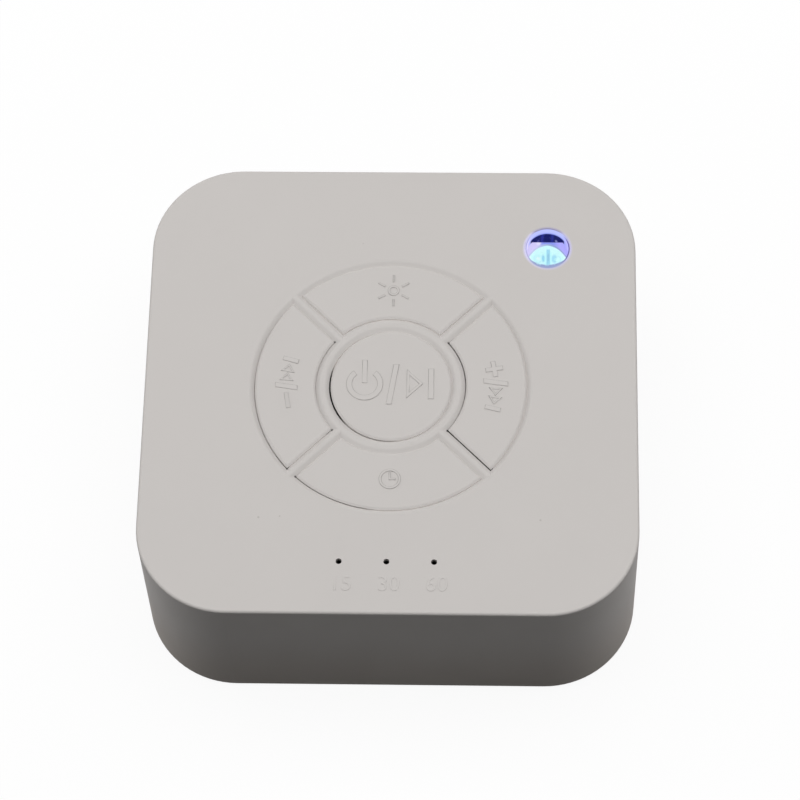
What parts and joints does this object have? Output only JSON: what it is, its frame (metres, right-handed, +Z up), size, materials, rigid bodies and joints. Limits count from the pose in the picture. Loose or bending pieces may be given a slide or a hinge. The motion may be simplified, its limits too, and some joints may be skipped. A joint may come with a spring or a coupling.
{
  "type": "sound machine",
  "caption": "Square tabletop white noise sound machine with flush press keys on top, a corner lamp, timer lights and a downward-firing loudspeaker.",
  "frame": {"origin": "on the resting plane under the centre of the body", "axes": "+Z up, -Y towards the front edge with the timer lights, +X to the right; sockets in the rear (+Y) wall"},
  "size_m": [0.105, 0.105, 0.04],
  "materials": {
    "case_plastic": "fine matte",
    "key_plastic": "fine matte",
    "foot_rubber": "matte",
    "screw_steel": "zinc plated",
    "plunger_plastic": "satin",
    "switch_plastic": "satin",
    "spring_steel": "bright",
    "board_laminate": "solder mask over laminate",
    "chip_plastic": "moulded epoxy",
    "can_aluminium": "bright",
    "led_resin": "clear resin",
    "shroud_plastic": "matte",
    "lamp_ring_plastic": "milky",
    "lamp_window_clear": "polished clear plastic",
    "lamp_diffuser_plastic": "milky, lit from behind",
    "lamp_holder_plastic": "white reflector plastic",
    "socket_steel": "nickel plated",
    "socket_plastic": "satin",
    "header_nylon": "natural nylon",
    "battery_sleeve": "shrink sleeve",
    "foam": "open-cell foam",
    "lead_insulation": "soft insulation",
    "frame_steel": "black paint",
    "pole_steel": "zinc plated",
    "magnet_ferrite": "sintered ferrite",
    "surround_foam": "foam roll",
    "spider_cloth": "impregnated cloth",
    "cone_paper": "pressed paper",
    "coil_copper": "varnished winding on paper",
    "grille_weave": "fine open weave"
  },
  "bodies": {
    "body": {"housing": "case_plastic", "base_cover": "case_plastic", "rubber_feet": "foot_rubber", "housing_screws": "screw_steel", "board_screws": "screw_steel", "speaker_screws": "screw_steel", "switch_bodies": "switch_plastic", "switch_covers": "spring_steel", "centre_snap_dome": "spring_steel", "light_snap_dome": "spring_steel", "forward_snap_dome": "spring_steel", "timer_snap_dome": "spring_steel", "back_snap_dome": "spring_steel", "main_board": "board_laminate", "sound_chip": "chip_plastic", "memory_chip": "chip_plastic", "amplifier_chip": "chip_plastic", "charge_chip": "chip_plastic", "power_inductor": "chip_plastic", "filter_capacitors": "can_aluminium", "timer_leds": "led_resin", "lamp_leds": "led_resin", "timer_light_block": "shroud_plastic", "lamp_shroud": "shroud_plastic", "lamp_ring": "lamp_ring_plastic", "lamp_window": "lamp_window_clear", "lamp_diffuser": "lamp_diffuser_plastic", "lamp_holder": "lamp_holder_plastic", "usb_shell": "socket_steel", "usb_tongue": "socket_plastic", "headphone_jack": "socket_plastic", "lead_sockets": "header_nylon", "battery_cell": "battery_sleeve", "battery_pad": "foam", "speaker_gasket": "foam", "battery_leads": "lead_insulation", "speaker_leads": "lead_insulation", "speaker_frame": "frame_steel", "speaker_front_plate": "pole_steel", "speaker_yoke": "pole_steel", "speaker_magnet": "magnet_ferrite", "speaker_surround": "surround_foam", "speaker_spider": "spider_cloth", "grille_cloth": "grille_weave"},
    "centre_key": {"centre_key": "key_plastic", "centre_plunger": "plunger_plastic"},
    "light_key": {"light_key": "key_plastic", "light_plunger": "plunger_plastic"},
    "forward_key": {"forward_key": "key_plastic", "forward_plunger": "plunger_plastic"},
    "timer_key": {"timer_key": "key_plastic", "timer_plunger": "plunger_plastic"},
    "back_key": {"back_key": "key_plastic", "back_plunger": "plunger_plastic"},
    "speaker_cone": {"speaker_cone": "cone_paper", "dust_cap": "cone_paper", "voice_coil": "coil_copper"}
  },
  "joints": [
    {"name": "centre_key_press", "type": "slide", "parent": "body", "child": "centre_key", "axis": [0, 0, -1], "range_m": [0, 0.0005], "stiffness_N_per_m": 3000, "springref_m": -0.0001, "deforming": ["centre_snap_dome"]},
    {"name": "light_key_press", "type": "slide", "parent": "body", "child": "light_key", "axis": [0, 0, -1], "range_m": [0, 0.0005], "stiffness_N_per_m": 3000, "springref_m": -0.0001, "deforming": ["light_snap_dome"]},
    {"name": "forward_key_press", "type": "slide", "parent": "body", "child": "forward_key", "axis": [0, 0, -1], "range_m": [0, 0.0005], "stiffness_N_per_m": 3000, "springref_m": -0.0001, "deforming": ["forward_snap_dome"]},
    {"name": "timer_key_press", "type": "slide", "parent": "body", "child": "timer_key", "axis": [0, 0, -1], "range_m": [0, 0.0005], "stiffness_N_per_m": 3000, "springref_m": -0.0001, "deforming": ["timer_snap_dome"]},
    {"name": "back_key_press", "type": "slide", "parent": "body", "child": "back_key", "axis": [0, 0, -1], "range_m": [0, 0.0005], "stiffness_N_per_m": 3000, "springref_m": -0.0001, "deforming": ["back_snap_dome"]},
    {"name": "cone_excursion", "type": "slide", "parent": "body", "child": "speaker_cone", "axis": [0, 0, 1], "range_m": [-0.0008, 0.0008], "stiffness_N_per_m": 1500, "deforming": ["speaker_surround", "speaker_spider"]}
  ]
}
